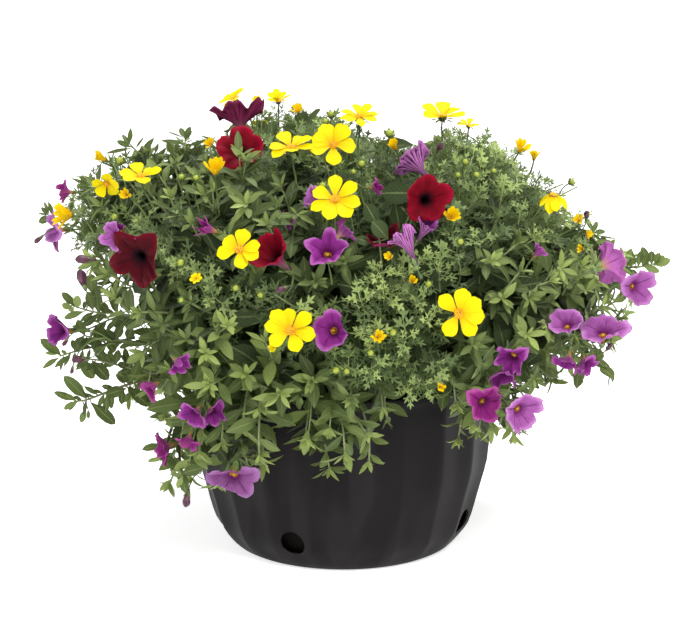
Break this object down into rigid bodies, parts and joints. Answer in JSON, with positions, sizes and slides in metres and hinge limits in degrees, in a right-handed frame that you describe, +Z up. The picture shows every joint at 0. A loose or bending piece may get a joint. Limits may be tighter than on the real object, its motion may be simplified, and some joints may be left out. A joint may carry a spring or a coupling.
{
  "type": "potted mixed annuals",
  "caption": "Squat pleated nursery pot holding a domed mound of mixed flowering annuals that trail over its rim.",
  "frame": {"origin": "centre of the pot's flat underside", "axes": "+Z up out of the pot, -Y towards the front of the display, +X to the right seen from the front"},
  "size_m": [0.6486, 0.5345, 0.4424],
  "materials": {
    "pot_plastic": "satin",
    "potting_mix": "matte",
    "stem": "matte",
    "bidens_leaf": "matte",
    "calibrachoa_leaf": "matte",
    "petunia_leaf": "matte",
    "bidens_petal": "matte",
    "calibrachoa_petal": "matte",
    "petunia_red_petal": "matte",
    "petunia_veined_petal": "matte"
  },
  "bodies": {
    "root": {"pot": "pot_plastic", "potting_mix": "potting_mix", "petunia_red_front_stems": "stem", "petunia_red_front_foliage": "petunia_leaf", "petunia_veined_stems": "stem", "petunia_veined_foliage": "petunia_leaf", "petunia_red_back_stems": "stem", "petunia_red_back_foliage": "petunia_leaf", "calibrachoa_front_stems": "stem", "calibrachoa_front_foliage": "calibrachoa_leaf", "bidens_front_stems": "stem", "bidens_front_foliage": "bidens_leaf", "calibrachoa_right_stems": "stem", "calibrachoa_right_foliage": "calibrachoa_leaf", "bidens_back_stems": "stem", "bidens_back_foliage": "bidens_leaf", "calibrachoa_back_stems": "stem", "calibrachoa_back_foliage": "calibrachoa_leaf", "bidens_left_stems": "stem", "bidens_left_foliage": "bidens_leaf", "front_left_drape": "calibrachoa_leaf", "left_drape": "calibrachoa_leaf", "right_drape": "calibrachoa_leaf", "back_left_drape": "calibrachoa_leaf", "front_drape": "bidens_leaf", "back_right_drape": "bidens_leaf", "left_upper_shoot": "calibrachoa_leaf", "left_lower_shoot": "calibrachoa_leaf", "low_left_shoot": "calibrachoa_leaf", "front_left_shoot": "calibrachoa_leaf", "right_lower_shoot": "calibrachoa_leaf", "right_upper_shoot": "calibrachoa_leaf", "bidens_flower_01": "bidens_petal", "bidens_flower_02": "bidens_petal", "bidens_flower_03": "bidens_petal", "bidens_flower_04": "bidens_petal", "bidens_flower_05": "bidens_petal", "bidens_flower_06": "bidens_petal", "bidens_flower_07": "bidens_petal", "bidens_flower_08": "bidens_petal", "bidens_flower_09": "bidens_petal", "bidens_flower_10": "bidens_petal", "bidens_flower_11": "bidens_petal", "bidens_flower_12": "bidens_petal", "calibrachoa_flower_01": "calibrachoa_petal", "calibrachoa_flower_02": "calibrachoa_petal", "calibrachoa_flower_03": "calibrachoa_petal", "calibrachoa_flower_04": "calibrachoa_petal", "calibrachoa_flower_05": "calibrachoa_petal", "calibrachoa_flower_06": "calibrachoa_petal", "calibrachoa_flower_07": "calibrachoa_petal", "calibrachoa_flower_08": "calibrachoa_petal", "calibrachoa_flower_09": "calibrachoa_petal", "calibrachoa_flower_10": "calibrachoa_petal", "calibrachoa_flower_11": "calibrachoa_petal", "calibrachoa_flower_12": "calibrachoa_petal", "petunia_red_flower_01": "petunia_red_petal", "petunia_red_flower_02": "petunia_red_petal", "petunia_red_flower_03": "petunia_red_petal", "petunia_veined_flower_01": "petunia_veined_petal"}
  },
  "joints": []
}
